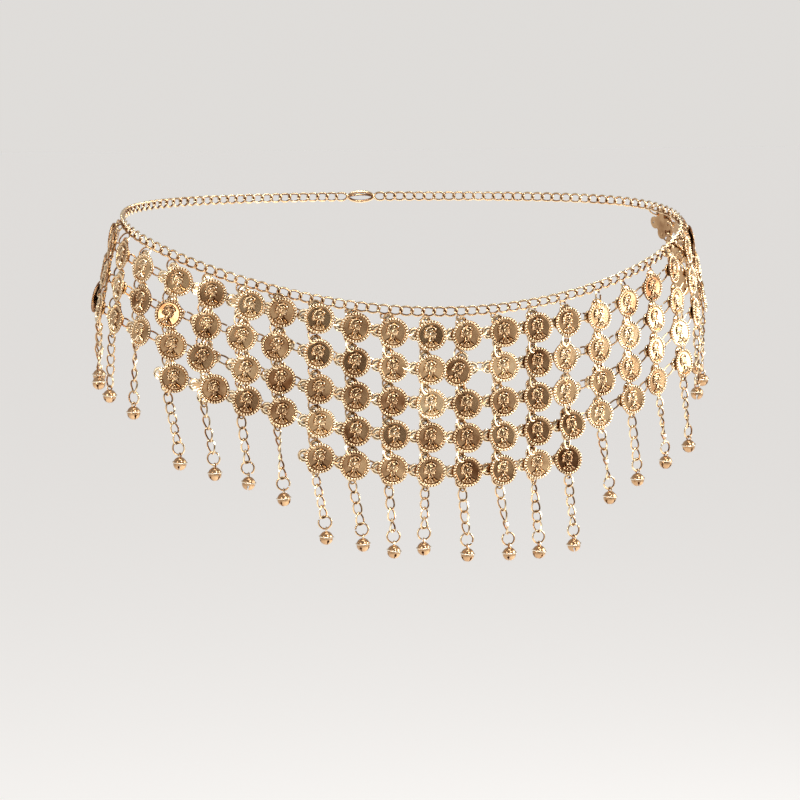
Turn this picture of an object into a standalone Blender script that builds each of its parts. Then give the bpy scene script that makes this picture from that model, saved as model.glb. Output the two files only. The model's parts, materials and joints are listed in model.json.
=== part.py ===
"""Waist chain of coins and bells, worn round the hips.

A curb chain runs once round the hips and closes with a clasp at the back. A net of stamped coin units hangs
from it: five rows at the front, four beside them and three at the sides. Each column of units ends in a short
drop chain with a jump ring, and a round bell hangs from each ring.

Frame: +Z up, the front of the belt toward -Y, the origin in the middle of the loop at the height of the chain
at the sides and back. Sizes are in millimetres and are scaled to metres as the meshes are made.
"""

import math

import bmesh
import bpy
from mathutils import Matrix, Vector

MM = 0.001

# Hips of a general figure at the height of the chain
HIP_HALF_WIDTH = 167.0
HIP_FRONT = 98.0
HIP_BACK = 118.0
SIDE_FLARE = 0.25  # how far the sides move out for each millimetre down
DROOP = 53.5  # how far the chain dips at the front centre
DROOP_POWER = 2.8
WALK_STEPS = 1440
TANGENT_STEP = 0.001

# Waist chain
LINK_PITCH = 6.25
LINK_HEIGHT = 6.2
LINK_WIRE = 1.3
LINK_THICK = 1.5
JOINT_HALF_HEIGHT = 1.35
CLASP_LINKS = 3  # the clasp takes the length of this many links
CHAIN_ARCS = 10
SEAM = 0.3

# Coin units: an eared plate with a coin before it
COLUMN_PITCH = 21.3
ROW_PITCH = 19.2
FIRST_ROW = 12.9  # from the chain's centre line down to the middle of the first plate
UNIT_THICK = 1.8
UNIT_OUT = 2.0  # the net hangs this far outside the chain's centre line
UNIT_TURN = 0.6  # the share of the row's slope that a plate turns by
COIN_RADIUS = 8.5
COIN_LOWER = 0.4  # the coin's middle is this far below its plate's
PLATE_DISC = 5.4
EAR_CENTRE = 5.7
EAR_RADIUS = 3.5
EAR_HOLE = 7.1
NECK = 2.0
NECK_HALF_LENGTH = 0.6  # the least half length of a neck between two units
OUTLINE_ANGLES = (0, 30, 60, 90, 112, 135, 157, 180, 203, 225, 248, 270, 300, 330)
NECK_SIDES = {90: 1, 270: -1}

# Columns from -X to +X: coins in the column, how much lower than its row it hangs, how much closer together
# its rows are, how far it sits along its rows toward +X, how far its coins hang to that side of their plates,
# how much longer its drop chain is, and how far the drop chain's end hangs to that side
COLUMNS = (
    # coins, hang, gather, along, coin side, drop longer, drop aside
    (3, -0.3, 2.2, -1.5, 2.6, -2, -2),
    (3, -0.3, 2.2, -2, 2.6, -3, -3),
    (3, -0.3, 2.4, -2.4, 2.6, -2.5, -3.5),
    (3, -0.3, 2.6, -2.9, 2.6, -0.7, -1.8),
    (4, -0.9, 2.4, -2.2, 2.6, 2.2, 8.4),
    (4, -1.7, 2.4, -1.2, 2.6, 1.4, 7),
    (4, -1.9, 2.2, -0.6, 2.6, -0.2, 4.6),
    (4, -2.9, 1.3, -1.5, 2.6, 2, 4),
    (5, -3.6, 0.2, -2.2, 2.6, -1.7, 6.8),
    (5, -1.9, 0.3, -3, 2.6, -1.6, 6.9),
    (5, -1.3, 0.2, -3.7, 2.6, -0.8, 3.5),
    (5, -0.6, 0.2, -4.2, 2.6, -3.9, -0.6),
    (5, -0.4, 0, -4.8, 2.6, -0.4, 3.7),
    (5, -0.2, 0, -4.9, 2.6, 1.4, 7.1),
    (5, -0.3, 0, -5.2, 2.4, 2.8, 4.2),
    (5, 0.6, 0, -4.8, 0, 2.3, 4.5),
    (4, 2.4, 1.1, -4.7, -0.5, 2.1, 7.4),
    (4, 0.9, 1.3, -3.6, -1, 0.1, 5.7),
    (4, -0.6, 2, -2.5, -1.5, 1.8, 7.2),
    (4, -2.6, 2, -0.2, -1.5, 3.4, 7.7),
    (3, -4.6, 2.4, 2.4, -1.5, 2, 3),
    (3, -3.8, 2.4, 3, -1.5, 1.5, 0),
    (3, -3, 2.2, 3, -1.5, 1, 0),
    (3, -2.5, 2.2, 2.4, -1.5, 0, 0),
)

# Drop chains and bells
DROP_LENGTH = 36.0  # from the ear's hole to the middle of the ring's bottom wire
DROP_LINK_PITCH = 6.2
DROP_WIDE = 1.5
DROP_NARROW = 0.75
RING_RADIUS = 3.2
RING_WIRE = 0.5
RING_SIDES = 8
BELL_RADIUS = 4.0
BELL_DROP = 5.1  # from the ring's wire to the middle of the bell
BELL_SIDES = 8
LOOP_RADIUS = 1.4
LOOP_WIRE = 0.35
LOOP_SIDES = 6
THIN_WIRE_SIDES = 3
SAME_PLACE = 0.001  # corners closer than this are one

# Clasp
CLASP_HALF_HEIGHT = 3.2
CLASP_WIRE = 1.1
CLASP_SIDES = 12
CLASP_WIRE_SIDES = 6


def clear_scene():
    for obj in list(bpy.data.objects):
        bpy.data.objects.remove(obj)


def make_material(name, colour, roughness):
    material = bpy.data.materials.new(name)
    material.use_nodes = True
    shader = material.node_tree.nodes["Principled BSDF"]
    shader.inputs["Base Color"].default_value = (*colour, 1.0)
    shader.inputs["Metallic"].default_value = 1.0
    shader.inputs["Roughness"].default_value = roughness
    return material


def make_collection(name):
    collection = bpy.data.collections.new(name)
    bpy.context.scene.collection.children.link(collection)
    return collection


def hip_point(turn, below):
    """The hip's surface at this turn from the front centre, this far below the chain."""
    half_width = HIP_HALF_WIDTH + SIDE_FLARE * below
    depth = HIP_FRONT if math.cos(turn) > 0 else HIP_BACK
    dip = DROOP * ((1 + math.cos(turn)) / 2) ** DROOP_POWER
    return Vector((half_width * math.sin(turn), -depth * math.cos(turn), -dip - below))


def outward(turn, below):
    half_width = HIP_HALF_WIDTH + SIDE_FLARE * below
    depth = HIP_FRONT if math.cos(turn) > 0 else HIP_BACK
    return Vector((math.sin(turn) / half_width, -math.cos(turn) / depth, 0)).normalized()


def walk_round(below):
    """Turns from the back, past the front to the back, with the length walked from the front at each."""
    turns = [math.pi * (2 * i / WALK_STEPS - 1) for i in range(WALK_STEPS + 1)]
    points = [hip_point(turn, below) for turn in turns]
    lengths = [0.0]
    for before, after in zip(points, points[1:]):
        lengths.append(lengths[-1] + (after - before).length)
    front = lengths[WALK_STEPS // 2]
    return turns, [length - front for length in lengths]


WALKS = {}


def turn_at(length, below):
    """The turn at this length along the surface from the front centre."""
    if below not in WALKS:
        WALKS[below] = walk_round(below)
    turns, lengths = WALKS[below]
    low, high = 0, WALK_STEPS
    while high - low > 1:
        middle = (low + high) // 2
        if lengths[middle] <= length:
            low = middle
        else:
            high = middle
    share = (length - lengths[low]) / (lengths[high] - lengths[low])
    return turns[low] + share * (turns[high] - turns[low])


def frame_at(origin, across, up):
    """A matrix from local millimetres to the world: x across, y up and z out of the surface."""
    out = across.cross(up).normalized()
    up = out.cross(across)
    turned = Matrix((across, up, out)).transposed().to_4x4()
    return Matrix.Translation(origin) @ turned


def row_tangent(turn, below):
    return (hip_point(turn + TANGENT_STEP, below) - hip_point(turn - TANGENT_STEP, below)).normalized()


def chain_frame(length):
    turn = turn_at(length, 0)
    across = row_tangent(turn, 0)
    return frame_at(hip_point(turn, 0), across, outward(turn, 0).cross(across))


def column_length(column):
    """The length from the front centre to a column, along its row."""
    along = COLUMNS[column][3]
    return (column - (len(COLUMNS) - 1) / 2) * COLUMN_PITCH + along


def row_pitch(column):
    return ROW_PITCH - COLUMNS[column][2]


def place_in_net(column, row):
    """How far round the hips a plate is, and how far below the chain."""
    row_below = FIRST_ROW + row * row_pitch(column)
    return turn_at(column_length(column), row_below), row_below + COLUMNS[column][1]


def unit_frame(column, row):
    """Where the middle of a plate is, turned part of the way with its row's slope."""
    turn, below = place_in_net(column, row)
    out = outward(turn, below)
    tangent = row_tangent(turn, below)
    level = Vector((tangent.x, tangent.y, 0)).normalized()
    up = (hip_point(turn, below - 1) - hip_point(turn, below)).normalized()
    slope = UNIT_TURN * math.atan2(tangent.z, Vector((tangent.x, tangent.y)).length)
    across = level * math.cos(slope) + up * math.sin(slope)
    up = up * math.cos(slope) - level * math.sin(slope)
    return frame_at(hip_point(turn, below) + out * UNIT_OUT, across, up)


def exit_radius(angle, centre, radius):
    """How far a ray from the plate's middle runs before it leaves a circle, or 0."""
    along = centre[0] * math.cos(angle) + centre[1] * math.sin(angle)
    aside = centre[0] * math.sin(angle) - centre[1] * math.cos(angle)
    if abs(aside) >= radius:
        return 0.0
    return along + math.sqrt(radius**2 - aside**2)


def unit_outline(column):
    """The outline of plate and coin together, with the neck's two points at the top and at the bottom."""
    coin_middle = (COLUMNS[column][4], -COIN_LOWER)
    points = []
    for degrees in OUTLINE_ANGLES:
        angle = math.radians(degrees)
        if degrees in NECK_SIDES:
            side = NECK_SIDES[degrees]
            height = side * neck_height(column)
            points += [(side * NECK / 2, height), (-side * NECK / 2, height)]
            continue
        reach = [PLATE_DISC, exit_radius(angle, coin_middle, COIN_RADIUS)]
        for quarter in range(4):
            ear = math.radians(90 * quarter)
            centre = (EAR_CENTRE * math.cos(ear), EAR_CENTRE * math.sin(ear))
            reach.append(exit_radius(angle, centre, EAR_RADIUS))
        points.append((max(reach) * math.cos(angle), max(reach) * math.sin(angle)))
    return points


def neck_height(column):
    """How far from the plate's middle its necks start: at the ear's tip, or nearer where rows are close."""
    return min(EAR_CENTRE + EAR_RADIUS, row_pitch(column) / 2 - NECK_HALF_LENGTH)


def add_object(name, mesh, material, collection):
    obj = bpy.data.objects.new(name, mesh)
    if material:
        mesh.materials.clear()
        mesh.materials.append(material)
    collection.objects.link(obj)
    return obj


def mesh_from(cage, name):
    bmesh.ops.recalc_face_normals(cage, faces=cage.faces)
    mesh = bpy.data.meshes.new(name)
    cage.to_mesh(mesh)
    cage.free()
    return mesh


def thicken(obj, thickness):
    modifier = obj.modifiers.new("Thickness", "SOLIDIFY")
    modifier.thickness = thickness * MM
    modifier.offset = 0.0


def add_union(obj, other):
    modifier = obj.modifiers.new("Join", "BOOLEAN")
    modifier.operation = "UNION"
    modifier.object = other


def hide_helper(obj, collection):
    for other in list(obj.users_collection):
        other.objects.unlink(obj)
    collection.objects.link(obj)
    obj.hide_render = True
    obj.display_type = "WIRE"


def build_chain_arc(name, first, count, pitch, material, collection):
    """A run of flat links, each with its own opening, joined end to end."""
    cage = bmesh.new()
    half = pitch / 2
    hole_half_length = half - LINK_WIRE
    hole_half_height = LINK_HEIGHT / 2 - LINK_WIRE

    def place(length, up):
        return cage.verts.new(chain_frame(length) @ Vector((0, up, 0)) * MM)

    def joint(length):
        return place(length, JOINT_HALF_HEIGHT), place(length, -JOINT_HALF_HEIGHT)

    left = joint((first - 0.5) * pitch + SEAM / 2)
    for index in range(first, first + count):
        middle = index * pitch
        last = index == first + count - 1
        right = joint(middle + half - (SEAM / 2 if last else 0))
        peak = place(middle, LINK_HEIGHT / 2), place(middle, -LINK_HEIGHT / 2)
        hole = place(middle, hole_half_height), place(middle, -hole_half_height)
        hole_left = place(middle - hole_half_length, 0)
        hole_right = place(middle + hole_half_length, 0)
        for side in range(2):
            cage.faces.new((left[side], hole_left, hole[side], peak[side]))
            cage.faces.new((peak[side], hole[side], hole_right, right[side]))
        cage.faces.new((left[0], left[1], hole_left))
        cage.faces.new((right[0], right[1], hole_right))
        left = right
    obj = add_object(name, mesh_from(cage, name), material, collection)
    thicken(obj, LINK_THICK)
    return obj


def build_column(column, pitch, material, collection, cutters):
    """A column of coin units on necks of ring wire, with its drop chain and ring."""
    name = f"coin_column_{column + 1:02d}"
    cage = bmesh.new()
    outline = unit_outline(column)
    top = [i for i, point in enumerate(outline) if point[1] == neck_height(column)]
    bottom = [i for i, point in enumerate(outline) if point[1] == -neck_height(column)]
    link = round(column_length(column) / pitch)
    hook = chain_frame(link * pitch)
    above = [
        cage.verts.new(hook @ Vector((side * NECK / 2, -LINK_WIRE / 2, UNIT_OUT)) * MM)
        for side in (-1, 1)
    ]
    for row in range(COLUMNS[column][0]):
        frame = unit_frame(column, row)
        ring = [cage.verts.new(frame @ Vector((x, y, 0)) * MM) for x, y in outline]
        cage.faces.new(ring)
        cage.faces.new((above[0], ring[top[1]], ring[top[0]], above[1]))
        above = [ring[bottom[0]], ring[bottom[1]]]
    obj = add_object(name, mesh_from(cage, name), material, collection)
    thicken(obj, UNIT_THICK)
    drop = bpy.data.objects.new(name + "_drop", make_drop_mesh(drop_length(column)))
    drop.matrix_world = scaled(drop_frame(column))
    hide_helper(drop, cutters)
    add_union(obj, drop)
    return obj


def scaled(frame):
    """The same frame with its place in metres, for a mesh that is already in metres."""
    moved = frame.copy()
    moved.translation = frame.translation * MM
    return moved


def drop_length(column):
    return DROP_LENGTH + COLUMNS[column][5]


def level_along(column):
    """The level direction along the lowest row at a column."""
    tangent = row_tangent(*place_in_net(column, COLUMNS[column][0] - 1))
    return Vector((tangent.x, tangent.y, 0)).normalized()


def drop_frame(column):
    """At the lowest ear's hole, with y up the drop chain."""
    level = level_along(column)
    plumb = Vector((0, 0, 1))
    swing = math.asin(COLUMNS[column][6] / drop_length(column))
    across = level * math.cos(swing) + plumb * math.sin(swing)
    up = plumb * math.cos(swing) - level * math.sin(swing)
    hole = unit_frame(column, COLUMNS[column][0] - 1) @ Vector((0, -EAR_HOLE, 0))
    return frame_at(hole, across, up)


def bell_frame(column):
    """On the ring's bottom wire, hanging plumb, with x along the wire."""
    wire = drop_frame(column) @ Vector((0, -drop_length(column), 0))
    return frame_at(wire, level_along(column), Vector((0, 0, 1)))


def united_mesh(name, first, *others):
    """The union of meshes, as one mesh."""
    scene = bpy.context.scene.collection
    base = bpy.data.objects.new(name, first)
    scene.objects.link(base)
    joined = []
    for mesh in others:
        other = bpy.data.objects.new(name + "_other", mesh)
        scene.objects.link(other)
        add_union(base, other)
        joined.append(other)
    graph = bpy.context.evaluated_depsgraph_get()
    united = bpy.data.meshes.new_from_object(base.evaluated_get(graph))
    for obj in [base, *joined]:
        bpy.data.objects.remove(obj)
    united.name = name
    return united


def wire_ring(name, radius, wire, sides, wire_sides, turned):
    """A ring of wire in the XY plane, or turned by the matrix."""
    bpy.ops.mesh.primitive_torus_add(
        major_segments=sides, minor_segments=wire_sides, major_radius=radius * MM, minor_radius=wire * MM
    )
    obj = bpy.context.object
    mesh = obj.data
    mesh.name = name
    mesh.transform(turned)
    bpy.data.objects.remove(obj)
    return mesh


def strand_mesh(name, stations):
    """A strand down -Y whose width follows the stations, each a distance and a radius."""
    curve = bpy.data.curves.new(name, "CURVE")
    curve.dimensions = "3D"
    curve.bevel_depth = MM
    curve.bevel_resolution = 0
    curve.use_fill_caps = True
    spline = curve.splines.new("POLY")
    spline.points.add(len(stations) - 1)
    for point, (distance, radius) in zip(spline.points, stations):
        point.co = (0, -distance * MM, 0, 1)
        point.radius = radius
    obj = bpy.data.objects.new(name, curve)
    bpy.context.scene.collection.objects.link(obj)
    graph = bpy.context.evaluated_depsgraph_get()
    mesh = bpy.data.meshes.new_from_object(obj.evaluated_get(graph))
    bpy.data.objects.remove(obj)
    cage = bmesh.new()
    cage.from_mesh(mesh)
    bmesh.ops.remove_doubles(cage, verts=cage.verts, dist=SAME_PLACE * MM)
    bmesh.ops.recalc_face_normals(cage, faces=cage.faces)
    cage.to_mesh(mesh)
    cage.free()
    return mesh


def make_drop_mesh(length):
    """The drop chain and the ring at its end, from the ear's hole at the origin down -Y."""
    flat = RING_RADIUS * math.cos(math.pi / RING_SIDES)
    strand_length = length - 2 * flat
    half_links = round(strand_length / (DROP_LINK_PITCH / 2))
    stations = []
    for i in range(half_links + 1):
        distance = strand_length * i / half_links
        stations.append((distance, DROP_WIDE if i % 2 and i < half_links else DROP_NARROW))
    ring_middle = Matrix.Translation(Vector((0, -(length - flat), 0)) * MM)
    turned = ring_middle @ Matrix.Rotation(math.pi / RING_SIDES, 4, "Z")
    ring = wire_ring("drop_ring", RING_RADIUS, RING_WIRE, RING_SIDES, THIN_WIRE_SIDES, turned)
    return united_mesh("drop", strand_mesh("drop_strand", stations), ring)


def make_bell_mesh():
    """A round bell below the origin, with its loop round the origin in the YZ plane."""
    cage = bmesh.new()
    middle = Matrix.Translation(Vector((0, -BELL_DROP, 0)) * MM) @ Matrix.Rotation(math.pi / 2, 4, "X")
    bmesh.ops.create_uvsphere(
        cage, u_segments=BELL_SIDES, v_segments=BELL_SIDES // 2, radius=BELL_RADIUS * MM, matrix=middle
    )
    turned = Matrix.Rotation(math.pi / 2, 4, "Y")
    loop = wire_ring("bell_loop", LOOP_RADIUS, LOOP_WIRE, LOOP_SIDES, THIN_WIRE_SIDES, turned)
    return united_mesh("bell", mesh_from(cage, "bell_ball"), loop)


def build_bell(column, bell_mesh, collection):
    obj = bpy.data.objects.new(f"bell_{column + 1:02d}", bell_mesh)
    obj.matrix_world = scaled(bell_frame(column))
    collection.objects.link(obj)
    return obj


def build_clasp(half_length, material, collection):
    """A plain closed hook clasp: a long oval of thick wire between the chain's two ends."""
    stretch = (half_length - SEAM) / (CLASP_HALF_HEIGHT + CLASP_WIRE)
    turned = Matrix.Diagonal((stretch, 1, 1, 1))
    mesh = wire_ring("clasp", CLASP_HALF_HEIGHT, CLASP_WIRE, CLASP_SIDES, CLASP_WIRE_SIDES, turned)
    obj = add_object("clasp", mesh, material, collection)
    middle = hip_point(math.pi, 0)
    obj.matrix_world = scaled(frame_at(middle, Vector((-1, 0, 0)), Vector((0, 0, 1))))
    return obj


def main():
    clear_scene()
    coin_gold = make_material("coin_gold", (0.83, 0.62, 0.36), 0.3)
    chain_gold = make_material("chain_gold", (0.86, 0.66, 0.40), 0.22)
    bell_gold = make_material("bell_gold", (0.85, 0.64, 0.40), 0.2)
    belt = make_collection("waist_chain")
    cutters = make_collection("cutters")

    loop_length = 2 * walk_round(0)[1][-1]
    link_places = round(loop_length / LINK_PITCH)
    pitch = loop_length / link_places
    links = link_places - CLASP_LINKS
    links -= 1 - links % 2
    first = -(links // 2)
    for arc in range(CHAIN_ARCS):
        start = round(arc * links / CHAIN_ARCS)
        end = round((arc + 1) * links / CHAIN_ARCS)
        build_chain_arc(f"chain_{arc + 1:02d}", first + start, end - start, pitch, chain_gold, belt)

    bell_mesh = make_bell_mesh()
    bell_mesh.materials.clear()
    bell_mesh.materials.append(bell_gold)
    for column in range(len(COLUMNS)):
        build_column(column, pitch, coin_gold, belt, cutters)
        build_bell(column, bell_mesh, belt)
    build_clasp((link_places - links) * pitch / 2, chain_gold, belt)


main()
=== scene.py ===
"""The looks of a waist chain of coins and bells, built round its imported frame.

The frame's functions below repeat the part's own, so that each link, plate, coin, ring and bell lies where
its solid does. Shapes are worked out in millimetres and scaled to metres as the meshes are made.
"""

import json
import math

import bmesh
import bpy
import numpy as np
from mathutils import Matrix, Vector

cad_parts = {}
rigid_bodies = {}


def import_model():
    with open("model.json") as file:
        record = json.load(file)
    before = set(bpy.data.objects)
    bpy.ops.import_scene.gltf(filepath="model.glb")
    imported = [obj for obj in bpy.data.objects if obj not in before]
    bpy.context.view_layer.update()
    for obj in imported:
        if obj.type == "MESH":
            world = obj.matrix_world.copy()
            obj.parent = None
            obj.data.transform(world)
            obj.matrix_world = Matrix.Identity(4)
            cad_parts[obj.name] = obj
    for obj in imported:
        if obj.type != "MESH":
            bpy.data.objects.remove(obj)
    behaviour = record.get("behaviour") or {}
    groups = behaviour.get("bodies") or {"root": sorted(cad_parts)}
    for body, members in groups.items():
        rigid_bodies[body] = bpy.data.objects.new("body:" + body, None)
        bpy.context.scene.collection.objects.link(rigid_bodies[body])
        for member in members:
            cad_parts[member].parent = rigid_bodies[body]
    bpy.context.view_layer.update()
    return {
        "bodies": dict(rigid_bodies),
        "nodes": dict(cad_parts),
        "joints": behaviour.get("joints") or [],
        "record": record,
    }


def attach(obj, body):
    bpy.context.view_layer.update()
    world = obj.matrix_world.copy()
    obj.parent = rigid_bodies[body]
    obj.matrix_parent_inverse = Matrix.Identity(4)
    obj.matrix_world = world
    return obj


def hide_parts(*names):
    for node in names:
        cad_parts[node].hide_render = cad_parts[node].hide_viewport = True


MM = 0.001
SEED = 7
SHARP_ANGLE = math.radians(55)

# Hips of a general figure at the height of the chain, as the part has them
HIP_HALF_WIDTH = 167.0
HIP_FRONT = 98.0
HIP_BACK = 118.0
SIDE_FLARE = 0.25
DROOP = 53.5
DROOP_POWER = 2.8
WALK_STEPS = 1440
TANGENT_STEP = 0.001

# Waist chain
LINK_PITCH = 6.25
CLASP_LINKS = 3
CHAIN_ARCS = 10
LINK_HALF_LENGTH = 3.7
LINK_HALF_HEIGHT = 2.45
LINK_TWIST = 0.78
LINK_WIRE = 0.64
LINK_STEPS = 24
LINK_SIDES = 8

# Clasp
CLASP_CLEARANCE = 0.3
CLASP_INSET = 1.1
CLASP_HALF_HEIGHT = 3.0
CLASP_STEPS = 32
CLASP_WIRE = 0.95
CLASP_SIDES = 10
TONGUE = (
    # share of the clasp's half length, further along, height, out of the surface
    (-1, 1.6, 0.2, 0.5),
    (-0.5, 0, 0.9, 1.0),
    (0, 0, 1.2, 0.9),
    (0.5, 0, 0.8, 0.9),
    (1, -1.6, 0.2, 0.6),
)
TONGUE_WIRE = 0.6
TONGUE_SIDES = 8

# The net's layout, as the part has it
COLUMN_PITCH = 21.3
ROW_PITCH = 19.2
FIRST_ROW = 12.9
UNIT_OUT = 2.0
UNIT_TURN = 0.6
COINS, HANG, GATHER, ALONG, COIN_SIDE, DROP_LONGER, DROP_ASIDE = range(7)
COLUMNS = (
    # coins, hang, gather, along, coin side, drop longer, drop aside
    (3, -0.3, 2.2, -1.5, 2.6, -2, -2),
    (3, -0.3, 2.2, -2, 2.6, -3, -3),
    (3, -0.3, 2.4, -2.4, 2.6, -2.5, -3.5),
    (3, -0.3, 2.6, -2.9, 2.6, -0.7, -1.8),
    (4, -0.9, 2.4, -2.2, 2.6, 2.2, 8.4),
    (4, -1.7, 2.4, -1.2, 2.6, 1.4, 7),
    (4, -1.9, 2.2, -0.6, 2.6, -0.2, 4.6),
    (4, -2.9, 1.3, -1.5, 2.6, 2, 4),
    (5, -3.6, 0.2, -2.2, 2.6, -1.7, 6.8),
    (5, -1.9, 0.3, -3, 2.6, -1.6, 6.9),
    (5, -1.3, 0.2, -3.7, 2.6, -0.8, 3.5),
    (5, -0.6, 0.2, -4.2, 2.6, -3.9, -0.6),
    (5, -0.4, 0, -4.8, 2.6, -0.4, 3.7),
    (5, -0.2, 0, -4.9, 2.6, 1.4, 7.1),
    (5, -0.3, 0, -5.2, 2.4, 2.8, 4.2),
    (5, 0.6, 0, -4.8, 0, 2.3, 4.5),
    (4, 2.4, 1.1, -4.7, -0.5, 2.1, 7.4),
    (4, 0.9, 1.3, -3.6, -1, 0.1, 5.7),
    (4, -0.6, 2, -2.5, -1.5, 1.8, 7.2),
    (4, -2.6, 2, -0.2, -1.5, 3.4, 7.7),
    (3, -4.6, 2.4, 2.4, -1.5, 2, 3),
    (3, -3.8, 2.4, 3, -1.5, 1.5, 0),
    (3, -3, 2.2, 3, -1.5, 1, 0),
    (3, -2.5, 2.2, 2.4, -1.5, 0, 0),
)

# Eared plate
PLATE_DISC = 5.4
EAR_CENTRE = 6.0
EAR_RADIUS = 3.75
EAR_HOLE = 7.1
EAR_HOLE_RADIUS = 0.75
PLATE_HALF_THICK = 0.28
EAR_RIM = (0.9, 0.1, 0.32)  # share of the ear's radius, half width of the rim as a share, height
EAR_ARC = (0.52, 0.13, 0.3)
PLATE_STEPS = 96
PLATE_INNER_STEPS = 32
PLATE_FIRST_SHARE = 0.35  # share of the way to the edge of the front's first ring of points
PLATE_BACK_SHARE = 0.5
PLATE_SHARES = (0.5, 0.6, 0.69, 0.77, 0.84, 0.9, 0.95, 1.0)
SHINGLE = math.radians(3.5)  # plates in close rows lean, so that their ears lie over each other
SHINGLE_FROM = 1.0  # rows that close up by more than this are close

# Coin
COIN_RADIUS = 8.5
COIN_HOLE_RADIUS = 0.65
COIN_LOWER = 0.6
COIN_OUT = 1.75  # a coin's middle is this far before its plate's
COIN_BACK = -0.4
FIELD = 0.12
FIELD_STEP = 0.37
FIELD_RINGS = 17
FIELD_COUNTS = ((3, 24), (7, 48), (FIELD_RINGS, 64))  # up to which ring, points in each
BEADS = 30
BEAD_STEPS = 6
BEAD_PROFILE = (
    # radius, share of the bead's height, height between beads
    (6.5, 0.0, 0.12),
    (6.72, 0.0, 0.42),
    (6.95, 0.0, 0.12),
    (7.15, 0.85, 0.0),
    (7.7, 1.0, 0.0),
    (8.2, 0.85, 0.0),
    (8.42, 0.0, 0.25),
)
BEAD_HEIGHT = 0.65
BEAD_ROUND = 0.6
# the coin field's tone, set below the beads' tops: painted shade
FIELD_SHADED_TONE = 0.45
# the dark gaps between the beads: painted shade
GAP_PAINTED_SHADE = 0.06
PLATE_WEAR = 0.5
# how fast the plate's front pales with height: painted highlight on the raised rim and arc, partly wear
PLATE_WEAR_AND_HIGHLIGHT_RISE = 0.5
# the backs of coins and plates, a little darker: painted shade
BACK_PAINTED_SHADE = 0.42
COIN_UNLIKE = 0.07  # how far the coins' plating differs from one to the next
COIN_EDGE = ((8.5, 0.1), (8.5, -0.25), (8.3, COIN_BACK))
EDGE_STEPS = 80
COIN_BACK_STEPS = 24
LEFT_HOLE = (-2.75, 5.9)
TOP_HOLE = (0.0, 6.35)
LEFT_HOLE_FROM = 1.0  # a coin further aside than this hangs by the hole on its left

# Bust on a coin
BUST = (
    # kind, x, y, half width, half height, lean in degrees, height
    ("shoulders", 0.0, -5.2, 3.7, 2.3, 0, 0.22),
    ("neck", -0.2, -2.2, 1.2, 2.2, -6, 0.5),
    ("head", 0.0, 1.6, 2.3, 2.6, 4, 0.7),
    ("face", 0.9, 0.9, 1.35, 2.1, 8, 0.8),
    ("jaw", 0.6, -0.2, 1.45, 0.95, -20, 0.75),
    ("nose", 2.2, 1.1, 0.6, 0.34, -55, 0.68),
    ("lips", 2.0, 0.05, 0.42, 0.28, 0, 0.7),
    ("chin", 1.7, -0.8, 0.55, 0.45, 0, 0.72),
    ("eye", 1.35, 1.55, 0.42, 0.2, 0, 1.0),
    ("brow", 1.55, 2.05, 0.62, 0.2, 10, 0.98),
    ("ear", -0.3, 0.9, 0.4, 0.65, 10, 1.0),
    ("hair", -1.75, 1.5, 1.75, 2.5, 14, 0.88),
    ("hair", -0.2, 3.0, 2.0, 1.1, -8, 0.85),
    ("hair", -2.9, -0.1, 0.95, 1.0, 0, 0.8),
)
BUST_LINES = (
    # x and y of one end, x and y of the other, half width, height
    (1.7, 2.7, 0.1, 1.9, 0.3, 1.0),
    (0.1, 1.9, -0.9, 0.2, 0.3, 1.0),
    (-0.9, 0.2, -2.2, -0.9, 0.3, 0.95),
    (-0.9, -2.6, -1.7, -4.0, 0.38, 0.95),
    (-1.7, -4.0, -3.5, -5.2, 0.38, 0.95),
    (0.9, -2.4, 1.6, -3.7, 0.36, 0.95),
    (1.6, -3.7, 3.4, -4.8, 0.36, 0.9),
    (0.0, -3.6, -1.3, -5.6, 0.3, 0.8),
    (0.5, -4.0, 1.2, -5.7, 0.3, 0.8),
)
BUST_DEEP = 1.25
STRAND_MIDDLE = (0.7, 0.9)
STRAND_PITCH = 1.15
STRAND_DEPTH = 0.3
WREATH_MIDDLE = (-0.1, 1.3)
WREATH_RADII = (3.15, 3.45)
WREATH_HALF_WIDTH = 0.5
WREATH_HEIGHT = 1.15
WREATH_FROM = math.radians(28)
WREATH_TO = math.radians(205)
WREATH_LEAVES = 16
LEAF_DEPTH = 0.25
OFF_WREATH = 9.0  # so far from its line, nothing of the wreath is left
CREASE_REACH = 0.42
# how strongly the crease darkens the grooves round the relief and paler its ridges: painted shade and painted
# highlight
CREASE_PAINTED_LIGHT = 2.3
CREASE_WAYS = 8  # directions in which the height round a point is read

# Coins that hang to one side: column, row, and how far toward +X
ASKEW = {
    (3, 2): 0.6,
    (4, 0): 3.6,
    (4, 1): -1.6,
    (4, 3): 1.6,
    (5, 0): 1.8,
    (5, 1): -1.4,
    (5, 2): -4.2,
    (5, 3): 3.8,
    (6, 0): 2.8,
    (6, 1): -2.8,
    (7, 1): -3.0,
    (7, 2): -1.2,
    (9, 4): -1.6,
    (12, 1): -6.0,
    (15, 1): -2.0,
    (15, 2): -2.0,
    (15, 3): 2.2,
    (16, 2): 2.0,
    (17, 3): 2.2,
    (19, 0): -1.4,
    (19, 3): 2.4,
}
ASKEW_SLIDE = 0.5  # the share of it that is a slide along the ring, and not a swing

# Columns whose loose coins turn to the front, off their plates, in degrees
FACING = {4: 22, 5: 20, 6: 16, 7: 10, 8: 5}
FACING_ASIDE = 0.6  # how far such a coin moves toward +X for each millimetre that it moves out
FACING_SUNK = 1.0  # how much of a turned coin's reach needs no room before its plate
COIN_ASIDE = 0.3  # every coin hangs this much further toward +X than its column says

# How loosely the coins hang, as ranges, or as the middle and the spread of a normal draw
COIN_SETTLE = (-0.3, 0.2)
COIN_SWING = 0.05  # only a spread, as the middle is how askew the coin is
COIN_TIP = (-0.1, 0.04)
COIN_TURN = (-0.03, 0.08)

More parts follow.
